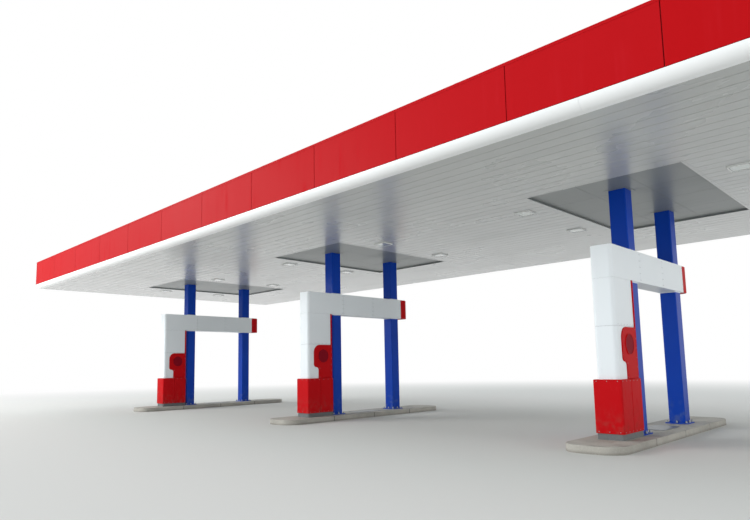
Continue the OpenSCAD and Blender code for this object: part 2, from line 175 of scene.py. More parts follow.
class Finish(Tree):
    """A material whose patterns are drawn in the object's own metres."""

    def __init__(self, name):
        self.material = bpy.data.materials.new(name)
        self.material.use_nodes = True
        self.material.node_tree.nodes.clear()
        super().__init__(self.material.node_tree)
        self.place = self.node("ShaderNodeTexCoord", out="Object")

    def axis(self, letter):
        return self.node("ShaderNodeSeparateXYZ", [self.place], out=letter)

    def vector(self, operation, *values):
        return self.node("ShaderNodeVectorMath", values, {"operation": operation})

    def noise(self, scale, detail=3.0, stretch=(1, 1, 1)):
        """Even clouds from 0 to 1, scale to a metre, stretched along an axis by a small number."""
        place = self.node("ShaderNodeMapping", {"Vector": self.place, "Scale": stretch})
        return self.node("ShaderNodeTexNoise", {"Vector": place, "Scale": scale, "Detail": detail})

    def cells(self, pitch, start=(0, 0, 0)):
        """One random number for each cell of a grid along X, Y and Z, alike on both sides of zero."""
        place = self.vector("SUBTRACT", self.vector("ABSOLUTE", self.place), start)
        cell = self.vector("FLOOR", self.vector("MULTIPLY", place, tuple(1 / p for p in pitch)))
        return self.node("ShaderNodeTexWhiteNoise", {"Vector": cell})

    def layers(self, base, *covers):
        """A colour under others, each given with the mask that shows it. A colour may be a code."""
        for mask, cover in covers:
            under, over = (tone(c) if isinstance(c, str) else c for c in (base, cover))
            # A Mix node has its colours at inputs 6 and 7 and at output 2
            base = self.node("ShaderNodeMix", {0: mask, 6: under, 7: over}, {"data_type": "RGBA"}, out=2)
        return base

    def bump(self, height, strength=0.5):
        """A normal from a height in metres."""
        return self.node("ShaderNodeBump", {"Height": height, "Distance": 1.0, "Strength": strength})

    def surface(self, base, rough, normal=None, **others):
        """The material, from its shader's inputs. Those in others are named like Coat_Weight."""
        values = {"Base Color": base, "Roughness": rough, **({"Normal": normal} if normal else {})}
        values.update((name.replace("_", " "), value) for name, value in others.items())
        shader = self.node("ShaderNodeBsdfPrincipled", values)
        self.node("ShaderNodeOutputMaterial", [shader])
        return self.material


# Finishes

PAINT_IOR = 1.3


def panel_paint(name, colour, weathered, pitch, streak, gloss, shine):
    """Coil coated sheet: small steps of tone from panel to panel, faint buckles and rain streaks."""
    finish = Finish(name)
    panel = finish.cells(pitch)
    clouds = finish.noise(0.35, 4)
    runs = finish.noise(9, 5, (1, 1, 0.05)).ramp(0.5, 0.72) * finish.noise(1.1, 3).ramp(0.35, 0.7)
    base = finish.layers(colour, (panel * 0.25 + clouds * 0.35 + runs * streak, weathered))
    rough = gloss + (clouds - 0.5) * 0.16 + runs * 0.18 + finish.noise(60, 2) * 0.03
    normal = finish.bump(finish.noise(0.9, 1) * 0.006 + finish.noise(240, 1) * 0.00004)
    return finish.surface(base, rough, normal, Specular_IOR_Level=shine, IOR=PAINT_IOR)


def structural_paint(name, colour, worn, dust, top, gloss, shine):
    """Thick paint on steel: roller marks, dust near the ground and scuffs at hand and knee height."""
    finish = Finish(name)
    height = finish.axis("Z")
    clouds = finish.noise(1.7, 4)
    scuffs = finish.noise(14, 4, (1, 1, 0.35)).ramp(0.6, 0.7) * (1 - height.ramp(0.8, top))
    splash = finish.noise(7, 5).ramp(0.42, 0.68) * (1 - height.ramp(0.15, 0.95))
    base = finish.layers(colour, (clouds * 0.3 + scuffs * 0.35, worn), (splash * 0.45, dust))
    rough = gloss + clouds * 0.1 + scuffs * 0.2 + splash * 0.35
    peel = finish.noise(160, 2) * 0.00008
    waves = finish.noise(1.5, 1, (1, 1, 0.3)) * 0.0006
    normal = finish.bump(peel + waves + scuffs * 0.0002, 0.6)
    return finish.surface(base, rough, normal, Specular_IOR_Level=shine, IOR=PAINT_IOR)


def soffit_paint(name, colour, shade, pitch, start, gloss, coat):
    """Satin white planks that mirror what is under them a little, each a touch lighter or darker."""
    finish = Finish(name)
    plank = finish.cells(pitch, start)
    clouds = finish.noise(0.5, 4)
    dust = finish.noise(1.6, 5, (0.3, 1, 1)).ramp(0.5, 0.8)
    base = finish.layers(colour, (plank * 0.25 + clouds * 0.35 + dust * 0.2, shade))
    normal = finish.bump(finish.noise(1.3, 1, (0.35, 1, 1)) * 0.0015)
    return finish.surface(base, gloss + clouds * 0.08 + dust * 0.08, normal, Coat_Weight=coat,
                          Coat_Roughness=0.25)


def plinth_concrete():
    """Broomed top, form marks and air holes on the sides, the holes darkened with painted shade, and darker
    towards the foot.
    """
    finish = Finish("plinth concrete")
    height = finish.axis("Z")
    on_top = height.ramp(0.14, 0.149)
    clouds = finish.noise(1.4, 6)
    sand = finish.noise(180, 4)
    grit = finish.noise(38, 5)
    # darker towards the foot, over the lowest 7 cm of every face
    darker_foot = 1 - height.ramp(0.0, 0.07)
    tread = finish.noise(2.6, 5).ramp(0.5, 0.68) * on_top
    pores = finish.node("ShaderNodeTexVoronoi", {"Vector": finish.place, "Scale": 45.0})
    # the air holes are darkened in colour as well as dented: painted shade in the pits
    hole = (1 - pores.ramp(0.08, 0.16)) * (1 - height.ramp(0.12, 0.14))
    base = finish.layers("b9b5ac", (clouds.ramp(0.3, 0.75), "9d9a92"), (grit.ramp(0.45, 0.8) * 0.4, "cfccc4"),
                         (sand * 0.25, "86827a"), (tread * 0.5, "7c7972"), (darker_foot * 0.55, "6f6b63"),
                         (hole * 0.5, "6a675f"))
    broom = finish.noise(120, 3, (0.04, 1, 1)) * on_top
    normal = finish.bump(sand * 0.0006 + grit * 0.001 + broom * 0.0016 - hole * 0.002, 0.8)
    return finish.surface(base, 0.82 + sand * 0.12 - tread * 0.16, normal)


def zinc_steel(name, colour, shade):
    """Galvanised steel with its patchwork of crystals."""
    finish = Finish(name)
    crystal = finish.node("ShaderNodeTexVoronoi", {"Vector": finish.place, "Scale": 55.0}, out="Color")
    grey = finish.node("ShaderNodeSeparateColor", [crystal])
    clouds = finish.noise(3, 4)
    stain = finish.noise(9, 4).ramp(0.55, 0.75)
    base = finish.layers(colour, (grey * 0.5 + clouds * 0.4, shade), (stain * 0.4, "c9cac6"))
    return finish.surface(base, 0.38 + grey * 0.14 + stain * 0.25, finish.bump(finish.noise(90, 2) * 0.0001),
                          Metallic=0.85 - stain * 0.4)


def primed_steel():
    """Grey paint on hot rolled sections, dull and a little dusty."""
    finish = Finish("steelwork paint")
    clouds = finish.noise(2, 5)
    dust = finish.noise(5, 4).ramp(0.5, 0.7)
    base = finish.layers("8b8f94", (clouds * 0.6, "6f747a"), (dust * 0.35, "a39e94"))
    normal = finish.bump(finish.noise(50, 4) * 0.0004 + clouds * 0.001, 0.6)
    return finish.surface(base, 0.55 + dust * 0.2 + clouds * 0.1, normal)


def roof_coating():
    """Pale coil coating with run-off stains down the slope and dirt in the pans."""
    finish = Finish("roof sheet coating")
    clouds = finish.noise(0.6, 5)
    runs = finish.noise(7, 5, (1, 0.06, 1)).ramp(0.45, 0.7)
    spots = finish.noise(28, 3).ramp(0.6, 0.72)
    base = finish.layers("b4bbbe", (clouds * 0.5, "9ca4a8"), (runs * 0.4, "83817a"), (spots * 0.3, "6d6b63"))
    normal = finish.bump(finish.noise(1.6, 1) * 0.003 + finish.noise(200, 1) * 0.00005)
    return finish.surface(base, 0.4 + runs * 0.2 + clouds * 0.1, normal, Coat_Weight=0.15,
                          Coat_Roughness=0.3)


DIODE_PITCH = 0.028


def lamp_glass():
    """Pale tempered glass over a white board with rows of small square diodes."""
    finish = Finish("lamp glass")
    cells = finish.vector("MULTIPLY", finish.place, (1 / DIODE_PITCH, 1 / DIODE_PITCH, 0))
    x = finish.node("ShaderNodeSeparateXYZ", [finish.vector("FRACTION", cells)])
    near_x, near_y = (1 - (v - 0.5).math("ABSOLUTE").ramp(0.14, 0.2) for v in (x, x.output("Y")))
    dust = finish.noise(12, 4)
    base = finish.layers("dbe2df", (near_x * near_y * 0.75, "f1eed2"), (dust * 0.3, "c2cbc7"))
    return finish.surface(base, 0.12 + dust * 0.14, Coat_Weight=1.0, Coat_Roughness=0.04)


def plain_finish(name, colour, shade, rough, bump=0.0002, shine=0.25):
    """Gaskets, sealant and other small dark parts."""
    finish = Finish(name)
    clouds = finish.noise(20, 4)
    return finish.surface(finish.layers(colour, (clouds, shade)), rough + clouds * 0.1,
                          finish.bump(finish.noise(150, 2) * bump, 0.6), Specular_IOR_Level=shine)


# Mesh kit

UPRIGHT = Matrix.Rotation(math.radians(90), 4, "X")
SIDES = {"front": 0, "right": 90, "rear": 180, "left": 270}


def turned(degrees):
    return Matrix.Rotation(math.radians(degrees), 4, "Z")


def of_side(side, long, short):
    """The first value for the front and the rear, the second for the left and the right."""
    return long if side in ("front", "rear") else short


def side_half(side):
    return of_side(side, HALF_L, HALF_D)


def side_place(side):
    """Turns (along, inwards, up) on one side of the canopy into the frame. Zero is the fascia's face."""
    return turned(SIDES[side]) @ Matrix.Translation((0, -of_side(side, HALF_D, HALF_L), 0))


def spread(start, end, count):
    """The count + 1 places that divide a length into equal parts."""
    return [start + (end - start) * k / count for k in range(count + 1)]


def rounded(corners, steps=5):
    """Outline through (x, y, radius) corners, each with a radius turned into an arc."""
    outline = []
    for k, (x, y, radius) in enumerate(corners):
        corner = Vector((x, y))
        if radius <= 0:
            outline.append(corner)
            continue
        back = (Vector(corners[k - 1][:2]) - corner).normalized()
        on = (Vector(corners[(k + 1) % len(corners)][:2]) - corner).normalized()
        half = back.angle(on) / 2
        centre = corner + (back + on).normalized() * radius / math.sin(half)
        start = corner + back * radius / math.tan(half) - centre
        end = corner + on * radius / math.tan(half) - centre
        first = math.atan2(start.y, start.x)
        turn = (math.atan2(end.y, end.x) - first + math.pi) % (2 * math.pi) - math.pi
        for angle in spread(first, first + turn, steps):
            outline.append(centre + radius * Vector((math.cos(angle), math.sin(angle))))
    return outline


def rectangle(x0, y0, x1, y1, radius=0.0, rear=None, steps=5):
    """Rounded rectangle, with another radius for the rear corners if one is given."""
    rear = radius if rear is None else rear
    return rounded([(x0, y0, radius), (x1, y0, radius), (x1, y1, rear), (x0, y1, rear)], steps)


def square(centre, half, radius=0.0, steps=5):
    x, y = centre
    return rectangle(x - half, y - half, x + half, y + half, radius, steps=steps)


def footprint(low, high, grow=0.0):
    """Outline of a box from above, grown on every side."""
    return rectangle(low.x - grow, low.y - grow, high.x + grow, high.y + grow)


def circle(radius, steps):
    return [Vector((math.cos(a), math.sin(a))) * radius for a in spread(0, 2 * math.pi, steps)[:-1]]


def middle(node):
    """Middle of a node's box from above."""
    low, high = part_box(node)
    return (low.x + high.x) / 2, (low.y + high.y) / 2


def column_middles(i):
    return [middle(f"column_{i}_{row}") for row in ROWS]


def inset(outline, amount):
    """The outline moved inwards, for one that runs anticlockwise."""
    moved = []
    for k, point in enumerate(outline):
        before = (point - outline[k - 1]).normalized()
        after = (outline[(k + 1) % len(outline)] - point).normalized()
        normal = Vector((-before.y - after.y, before.x + after.x)).normalized()
        share = max(0.3, normal.dot(Vector((-before.y, before.x))))
        moved.append(point + normal * amount / share)
    return moved


def settled(piece):
    """Turns what the piece's modifiers make into its mesh, and lets it ride."""
    graph = bpy.context.evaluated_depsgraph_get()
    made = bpy.data.meshes.new_from_object(piece.evaluated_get(graph))
    piece.modifiers.clear()
    piece.data = made
    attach(piece, BODY)


# (inwards, up) points of a plate's rim, as shares of its radius
ROUND_RIM = ((1, 0), (0.3, 0.3), (0, 1))
SHARP_RIM = ((0, 0),)


class Shape:
    """Closed forms gathered into one mesh."""

    def __init__(self):
        self.mesh = bmesh.new()

    def loft(self, rings, place=Matrix(), closed=False):
        """Skins a row of rings of 3-D points; the ends are capped unless the row closes on itself."""
        rows = [[self.mesh.verts.new(place @ Vector(p)) for p in ring] for ring in rings]
        count = len(rows[0])
        for one, two in pairwise(rows + rows[:1] if closed else rows):
            for k in range(count):
                n = (k + 1) % count
                self.mesh.faces.new((one[k], one[n], two[n], two[k]))
        if not closed:
            self.mesh.faces.new(rows[0][::-1])
            self.mesh.faces.new(rows[-1])

    def plate(self, outline, low, high, place=Matrix(), low_edge=0.0, high_edge=0.0):
        """An outline in X and Y made solid from low to high, its rims rounded."""
        levels = [(d * low_edge, low + up * low_edge) for d, up in (ROUND_RIM if low_edge else SHARP_RIM)]
        levels += [(d * high_edge, high - up * high_edge)
                   for d, up in (ROUND_RIM[::-1] if high_edge else SHARP_RIM)]
        self.loft([[(p.x, p.y, z) for p in (inset(outline, d) if d else outline)] for d, z in levels], place)

    def ring(self, levels, place=Matrix()):
        """A form round an opening, its section given as (outline, height) with as many points each."""
        self.loft([[(p.x, p.y, z) for p in line] for line, z in levels], place, True)

    def collar(self, outer, inner, low, high, place=Matrix()):
        """A flat ring between two outlines."""
        self.ring(((outer, low), (outer, high), (inner, high), (inner, low)), place)

    def run(self, side, section, start=None, end=None):
        """A section of (inwards, up) points along one side; an end left out is mitred at the corner."""
        half = side_half(side)
        first = [(-(half - u) if start is None else start, u, z) for u, z in section]
        last = [(half - u if end is None else end, u, z) for u, z in section]
        self.loft([first, last], side_place(side))

    def jointed_run(self, side, bays, section, cover, cover_half):
        """A section along one side in bays with open joints, and a short cover at every joint."""
        bays = of_side(side, *bays)
        cuts = spread(-side_half(side), side_half(side), bays)
        for k in range(bays):
            self.run(side, section, None if k == 0 else cuts[k] + JOINT / 2,
                     None if k == bays - 1 else cuts[k + 1] - JOINT / 2)
        for cut in cuts[1:-1]:
            self.run(side, cover, cut - cover_half, cut + cover_half)

    def data(self, name):
        """The mesh, with its normals outward."""
        bmesh.ops.remove_doubles(self.mesh, verts=self.mesh.verts, dist=1e-6)
        bmesh.ops.recalc_face_normals(self.mesh, faces=self.mesh.faces)
        data = bpy.data.meshes.new(name)
        self.mesh.to_mesh(data)
        self.mesh.free()
        return data

    def finished(self, name, finish, slot, node=None, smooth=35, cutter=None):
        """Makes the piece, less what the cutter takes, in the place of a CAD node if one is given."""
        data = self.data(name)
        data.shade_smooth()
        data.set_sharp_from_angle(angle=math.radians(smooth))
        data.materials.append(finish)
        piece = placed(name, data)
        if cutter:
            tool = placed("cutter", cutter.data("cutter"))
            cut = piece.modifiers.new("cut", "BOOLEAN")
            cut.object = tool
            cut.solver = "EXACT"
        flat = piece.modifiers.new("flat faces", "WEIGHTED_NORMAL")
        flat.keep_sharp = True
        flat.weight = 100
        settled(piece)
        if cutter:
            bpy.data.objects.remove(tool)
        if node:
            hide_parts(node)


# Rows of bolts, screws and rivets, by geometry nodes

ROW_INPUTS = {"Start": "Vector", "Row step": "Vector", "Row count": "Int", "Column step": "Vector",
              "Column count": "Int", "Facing": "Vector"}
HEAD_INPUTS = {"Head width": "Float", "Head height": "Float", "Head sides": "Int", "Head taper": "Float",
               "Washer width": "Float", "Washer height": "Float"}
WASHER_SIDES = 10


def fixing_tree():
    """Rows and columns of heads on washers, added to what the object already holds."""
    group = bpy.data.node_groups.new("rows of fixings", "GeometryNodeTree")
    group.interface.new_socket("Geometry", in_out="INPUT", socket_type="NodeSocketGeometry")
    for name, kind in {**ROW_INPUTS, **HEAD_INPUTS, "Material": "Material"}.items():
        group.interface.new_socket(name, in_out="INPUT", socket_type="NodeSocket" + kind)
    group.interface.new_socket("Geometry", in_out="OUTPUT", socket_type="NodeSocketGeometry")
    tree = Tree(group)
    given = tree.node("NodeGroupInput")
    get = given.output

    def joined(*parts):
        join = group.nodes.new("GeometryNodeJoinGeometry")
        for part in parts:
            group.links.new(part.socket, join.inputs[0])
        return Value(tree, join.outputs[0])

    def disc(part, sides, taper, lift):
        radius = get(part + " width") * 0.5
        form = tree.node("GeometryNodeMeshCone", {
            "Vertices": sides, "Radius Top": radius * taper, "Radius Bottom": radius,
            "Depth": get(part + " height")})
        up = tree.node("ShaderNodeCombineXYZ", {"Z": lift})
        return tree.node("GeometryNodeTransform", {"Geometry": form, "Translation": up})

    def line(part, start=(0, 0, 0)):
        values = {"Count": get(part + " count"), "Offset": get(part + " step"), "Start Location": start}
        return tree.node("GeometryNodeMeshLine", values, {"mode": "OFFSET"})

    def copies(points, form, turn=(0, 0, 0)):
        many = tree.node("GeometryNodeInstanceOnPoints", {
            "Points": points, "Instance": form, "Rotation": turn})
        return tree.node("GeometryNodeRealizeInstances", [many])

    grid = copies(line("Row", get("Start")), line("Column"))
    both = joined(disc("Washer", WASHER_SIDES, 1.0, 0.0),
                  disc("Head", get("Head sides"), get("Head taper"), get("Washer height")))
    turn = tree.node("FunctionNodeAlignRotationToVector", {"Vector": get("Facing")}, {"axis": "Z"})
    coloured = tree.node("GeometryNodeSetMaterial", {
        "Geometry": copies(grid, both, turn), "Material": get("Material")})
    tree.node("NodeGroupOutput", [joined(given, coloured)])
    return group


FIXING_TREE = fixing_tree()
FIXING_SOCKETS = {item.name: item.identifier for item in FIXING_TREE.interface.items_tree
                  if item.in_out == "INPUT"}


def fixing(*sizes):
    """A kind of fixing: a head on a round washer, by the sizes in HEAD_INPUTS."""
    return dict(zip(HEAD_INPUTS, sizes))


def row_of(kind, facing, start, step, count, column=(0, 1, 0), columns=1, place=Matrix()):
    """Fixings of one kind in a row, or in as many rows as there are columns."""
    turn = place.to_3x3()
    step, column, facing = (tuple(turn @ Vector(way)) for way in (step, column, facing))
    values = (tuple(place @ Vector(start)), step, count, column, columns, facing)
    return {**dict(zip(ROW_INPUTS, values)), **kind}


def rows_between(kind, pitch, lines):
    """Rows along (facing, first point, last point) lines, at about the given pitch."""
    rows = []
    for facing, first, last in lines:
        run = Vector(last) - Vector(first)
        count = max(1, round(run.length / pitch))
        rows.append(row_of(kind, facing, first, run / count, count + 1))
    return rows


def fixings(name, finish, rows):
    """One piece from many rows."""
    piece = placed(name, bpy.data.meshes.new(name))
    for row in rows:
        added = piece.modifiers.new("row", "NODES")
        added.node_group = FIXING_TREE
        for input_name, value in {"Material": finish, **row}.items():
            added[FIXING_SOCKETS[input_name]] = value
    settled(piece)
    piece.data.shade_smooth()
    piece.data.set_sharp_from_angle(angle=math.radians(30))


LEFT, RIGHT, FRONT = (-1, 0, 0), (1, 0, 0), (0, -1, 0)
UP, DOWN = (0, 0, 1), (0, 0, -1)


# Sizes taken from the frame

fascia_low, fascia_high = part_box("fascia_front")
soffit_low, soffit_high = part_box("soffit_front")
FASCIA_FOOT = fascia_low.z
FASCIA_TOP = fascia_high.z
SOFFIT_Z = soffit_low.z
SOFFIT_TOP = soffit_high.z
TRIM_IN = soffit_low.y + HALF_D

COLUMN_W = 0.37
COLUMN_R = 0.024
COLUMN_FIT = 0.003


# Fascia, coping and bullnose

FASCIA_BAYS = (12, 5)
COPING_BAYS = (10, 4)
TRIM_BAYS = (8, 4)
PANEL_FACE = 0.006
PANEL_BACK = 0.040
PANEL_GAP = 0.012
GASKET_W = 0.020
CORNER_LEG = 0.055
CORNER_LAP = 0.012
CORNER_SHEET = 0.004
CORNER_IN = 0.003
COPING_TOP = FASCIA_TOP - 0.003
COPING_DROP = 0.055
COPING_FALL = 0.010
COPING_BACK = 0.030
COPING_SHEET = 0.003
COPING_W = fascia_high.y - fascia_low.y
STRAP_GROW = 0.0015
STRAP_HALF = 0.045
TRIM_WALL = 0.010
TRIM_GAP = 0.006
TRIM_SEAT = 0.028
SLEEVE_HALF = 0.05
EDGE_LEG = 0.026
EDGE_SHEET = 0.003
JOINT = 0.003


def fascia_side(side, red, dark):
    """Red tray panels with open joints over a gasket, between two corner pieces."""
    place = side_place(side) @ UPRIGHT
    panels, gasket = Shape(), Shape()
    edges = spread(-side_half(side), side_half(side), of_side(side, *FASCIA_BAYS))
    edges[0] += CORNER_LEG
    edges[-1] -= CORNER_LEG
    for left, right in pairwise(edges):
        outline = rectangle(left + PANEL_GAP / 2, FASCIA_FOOT + TRIM_GAP, right - PANEL_GAP / 2,
                            COPING_TOP - COPING_SHEET - 0.004, 0.004, steps=2)
        panels.plate(outline, -PANEL_BACK, -PANEL_FACE, place, 0, 0.005)
    for edge in edges:
        outline = rectangle(edge - GASKET_W, FASCIA_FOOT + 0.01, edge + GASKET_W, COPING_TOP - 0.02)
        gasket.plate(outline, -PANEL_BACK - 0.004, -PANEL_BACK + 0.006, place)
    back, top = PANEL_BACK - 0.003, FASCIA_FOOT + GASKET_W
    gasket.run(side, [(GASKET_W, FASCIA_FOOT), (back, FASCIA_FOOT), (back, top), (GASKET_W, top)])
    panels.finished(f"fascia_panels_{side}", red, "fascia_red", f"fascia_{side}")
    gasket.finished(f"fascia_gaskets_{side}", dark, "fascia_red")


def corner_pieces(red):
    """Folded upright angles at the four corners of the fascia."""
    shape = Shape()
    t, far = CORNER_SHEET, CORNER_LEG + CORNER_LAP
    outline = rounded([(-far, 0, 0), (0, 0, 0.012), (0, far, 0), (-t, far, 0), (-t, t, 0.008),
                       (-far, t, 0)], 6)
    for side in SIDES:
        place = side_place(side) @ Matrix.Translation((side_half(side) - CORNER_IN, CORNER_IN, 0))
        shape.plate(outline, FASCIA_FOOT + TRIM_GAP, COPING_TOP - 0.006, place)
    shape.finished("fascia_corners", red, "fascia_red")


def coping_section(grow):
    """Folded cap: drip at the front, top falling inwards, short back leg."""
    t = COPING_SHEET
    front, back = 0.002 - grow, COPING_W + grow
    top = COPING_TOP + grow
    low = top - COPING_FALL
    return [(front, top - COPING_DROP), (front, top), (back, low), (back, low - COPING_BACK),
            (back - t, low - COPING_BACK), (back - t, low - t), (front + t, top - t),
            (front + t, top - COPING_DROP)]


def coping(red):
    """Coping in lengths, with a strap over every joint."""
    shape = Shape()
    for side in ("front", "rear", "left", "right"):
        shape.jointed_run(side, COPING_BAYS, coping_section(0), coping_section(STRAP_GROW), STRAP_HALF)
    shape.finished("coping", red, "fascia_red")


def bullnose_section(out=0.0, steps=14):
    """Thin quarter round from under the fascia to the soffit's edge, with its seat for the planks."""
    top = FASCIA_FOOT - TRIM_GAP
    high = top - SOFFIT_Z
    seat = SOFFIT_Z + TRIM_SEAT

    def arc(t, first, last):
        return [(TRIM_IN - (TRIM_IN - t) * math.cos(a), top - (high - t) * math.sin(a))
                for a in spread(math.radians(first), math.radians(last), steps)]

    wall = TRIM_WALL + out
    return (arc(out, 0, 90) + [(TRIM_IN, seat), (TRIM_IN - wall, seat)] + arc(wall, 86, 4)
            + [(PANEL_BACK, top - 0.006), (PANEL_BACK, top)])


def bullnose(side, white):
    """Bullnose in lengths over sleeves, and the folded edge of the soffit."""
    shape, edge = Shape(), Shape()
    shape.jointed_run(side, TRIM_BAYS, bullnose_section(), bullnose_section(TRIM_WALL), SLEEVE_HALF)
    shape.finished(f"bullnose_{side}", white, "trim_white", f"trim_{side}", smooth=40)
    x, z, j = TRIM_IN, SOFFIT_Z, EDGE_LEG
    edge.run(side, [(x - 0.004, z - EDGE_SHEET), (x + j, z - EDGE_SHEET), (x + j, z), (x + 0.002, z),
                    (x + 0.002, z + j), (x - 0.004, z + j)])
    edge.finished(f"soffit_edge_{side}", white, "trim_white")


# Soffit

PLANK_LENGTHS = 5
PLANK_W = 0.312
GROOVE_W = 0.009
GROOVE_H = 0.013


def plank_section(left, right):
    """Section of one plank in Y and Z: flat face, rounded edges, and half a groove on each side."""
    g, h = GROOVE_W / 2, GROOVE_H
    edge = [(0, h), (g, h), (g, 0.006), (g + 0.002, 0.002), (g + 0.006, 0)]
    face = [(left + y, up) for y, up in edge] + [(right - y, up) for y, up in edge[::-1]]
    return [(y, SOFFIT_Z + up) for y, up in face] + [(right, SOFFIT_TOP), (left, SOFFIT_TOP)]


def planks(name, node, areas, finish):
    """Planks along X that fill the given (x0, x1, y0, y1) areas."""
    shape = Shape()
    for x0, x1, y0, y1 in areas:
        lengths = max(1, round((x1 - x0) / (2 * soffit_high.x / PLANK_LENGTHS)))
        widths = max(1, round((y1 - y0) / PLANK_W))
        for left, right in pairwise(spread(y0, y1, widths)):
            section = plank_section(left, right)
            for start, end in pairwise(spread(x0, x1, lengths)):
                shape.loft([[(x, y, z) for y, z in section] for x in (start + JOINT / 2, end - JOINT / 2)])
    shape.finished(name, finish, "soffit_white", node)


def soffit(strips, bays):
    """Planks in front of the trays and behind them, and in the bays between."""
    end_x = soffit_high.x
    for row, y0, y1 in (("front", soffit_low.y, soffit_high.y), ("rear", -soffit_high.y, -soffit_low.y)):
        planks(f"soffit_planks_{row}", f"soffit_{row}", [(-end_x, end_x, y0, y1)], strips)
    trays = [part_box(f"soffit_tray_{i}") for i in ISLANDS]
    cuts = [-end_x, *(edge.x for tray in trays for edge in tray), end_x]
    depth = trays[0][1].y
    areas = [(left, right, -depth, depth) for left, right in zip(cuts[::2], cuts[1::2])]
    planks("soffit_planks_bays", "soffit_bays", areas, bays)


def column_holes(i, low, high, fit=COLUMN_FIT):
    """The room that both columns of an island take, for cutting with."""
    shape = Shape()
    for centre in column_middles(i):
        shape.plate(square(centre, COLUMN_W / 2 + fit, COLUMN_R), low - 0.1, high + 0.1)
    return shape


TRAY_SHEETS = (3, 4)
TRAY_WALL = 0.018
TRAY_DEPTH = 0.020
TRAY_JOINT = 0.002
TRAY_COLLAR = 0.07
TRAY_RIM = 0.045
TRAY_RIM_T = 0.003


def soffit_tray(i, grey, white, dark):
    """Sunk tray: flat sheets with fine joints, upstands, and an angle round its mouth."""
    low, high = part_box(f"soffit_tray_{i}")
    t = TRAY_WALL
    roof_z = high.z - TRAY_DEPTH
    mouth = footprint(low, high, -t)
    sheets, cover, rim, back = Shape(), Shape(), Shape(), Shape()
    for x0, x1 in pairwise(spread(low.x + t, high.x - t, TRAY_SHEETS[0])):
        for y0, y1 in pairwise(spread(low.y + t, high.y - t, TRAY_SHEETS[1])):
            sheets.plate(rectangle(x0 + TRAY_JOINT, y0 + TRAY_JOINT, x1 - TRAY_JOINT, y1 - TRAY_JOINT),
                         roof_z, roof_z + 0.012, low_edge=0.003)
    sheets.collar(footprint(low, high), mouth, SOFFIT_Z + 0.001, high.z)
    half = COLUMN_W / 2 + COLUMN_FIT
    for centre in column_middles(i):
        cover.collar(square(centre, half + TRAY_COLLAR, 0.006, steps=3),
                     square(centre, half, COLUMN_R, steps=3), roof_z - 0.006, roof_z)
    rim.collar(footprint(low, high, TRAY_RIM), mouth, SOFFIT_Z - TRAY_RIM_T, SOFFIT_Z)
    back.plate(mouth, roof_z + 0.013, high.z - 0.001)
    sheets.finished(f"tray_sheets_{i}", grey, "tray_grey", f"soffit_tray_{i}",
                    cutter=column_holes(i, roof_z, high.z))
    cover.finished(f"tray_collars_{i}", grey, "tray_grey")
    rim.finished(f"tray_rim_{i}", white, "soffit_white")
    back.finished(f"tray_backing_{i}", dark, "tray_grey", cutter=column_holes(i, roof_z, high.z))


LIGHT_W = 0.42
LIGHT_X = 2.35
LIGHT_R = 0.030
LIGHT_RIM = 0.032
LIGHT_SEAL = 0.005


def light_places():
    """Centres of the light fittings, four round each island."""
    _, row_y = middle("column_1_rear")
    return [(middle(f"island_plinth_{i}")[0] + side * LIGHT_X, row * row_y)
            for i in ISLANDS for side in (-1, 1) for row in (-1, 1)]


def soffit_lights(white, glass, dark):
    """Flat fittings: a moulded frame, a gasket line and a pane of glass set in it."""
    low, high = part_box("soffit_lights")
    frames, panes, seals = Shape(), Shape(), Shape()

    def outline(d):
        return square((0, 0), LIGHT_W / 2 - d, LIGHT_R - d / 2)

    levels = [(0.0, high.z), (0.0, low.z + 0.008), (0.003, low.z + 0.003), (0.008, low.z),
              (LIGHT_RIM - 0.006, low.z), (LIGHT_RIM, low.z + 0.005), (LIGHT_RIM, high.z)]
    rim, pane = outline(LIGHT_RIM), outline(LIGHT_RIM + LIGHT_SEAL)
    for x, y in light_places():
        place = Matrix.Translation((x, y, 0))
        frames.ring([(outline(d), z) for d, z in levels], place)
        seals.collar(rim, pane, low.z + 0.005, low.z + 0.012, place)
        panes.plate(pane, low.z + 0.006, low.z + 0.012, place, 0.002)
    frames.finished("light_frames", white, "light_fitting", "soffit_lights")
    panes.finished("light_glass", glass, "light_fitting")
    seals.finished("light_seals", dark, "light_fitting")


# Columns

BASE_W = 0.52
BASE_T = 0.025
COLUMN_WELD = ((0.0, 0.012), (-0.004, 0.006), (-0.012, 0.0), (0.004, 0.0), (0.004, 0.012))
BOLT_REACH = 0.215
NUT = fixing(0.046, 0.024, 6, 0.94, 0.060, 0.005)
STUD = fixing(0.030, 0.048, 12, 0.9, 0.032, 0.005)


def column(i, row, blue):
    """Square tube on a base plate, with the weld round its foot."""
    name = f"column_{i}_{row}"
    low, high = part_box(name)
    place = Matrix.Translation((*middle(name), 0))
    tube = square((0, 0), COLUMN_W / 2, COLUMN_R, steps=6)
    foot = low.z + BASE_T
    shape = Shape()
    shape.plate(square((0, 0), BASE_W / 2, COLUMN_R), low.z, foot, place, 0, 0.003)
    shape.plate(tube, foot, high.z - BASE_T, place)
    shape.plate(tube, high.z - BASE_T, high.z, place)
    shape.ring([(inset(tube, d), foot + up) for d, up in COLUMN_WELD], place)
    shape.finished(f"column_tube_{i}_{row}", blue, "column_blue", name)


def anchor_bolts(zinc):
    """Eight nuts on washers on every base plate, each with the end of its stud."""
    rows = []
    r = BOLT_REACH
    for name in (f"column_{i}_{row}" for i in ISLANDS for row in ROWS):
        x, y = middle(name)
        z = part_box(name)[0].z + BASE_T
        for kind in (NUT, STUD):
            rows.append(row_of(kind, UP, (x - r, y - r, z), (r, 0, 0), 3, (0, 2 * r, 0), 2))
            rows.append(row_of(kind, UP, (x - r, y, z), (2 * r, 0, 0), 2))
    fixings("anchor_bolts", zinc, rows)


# Portals

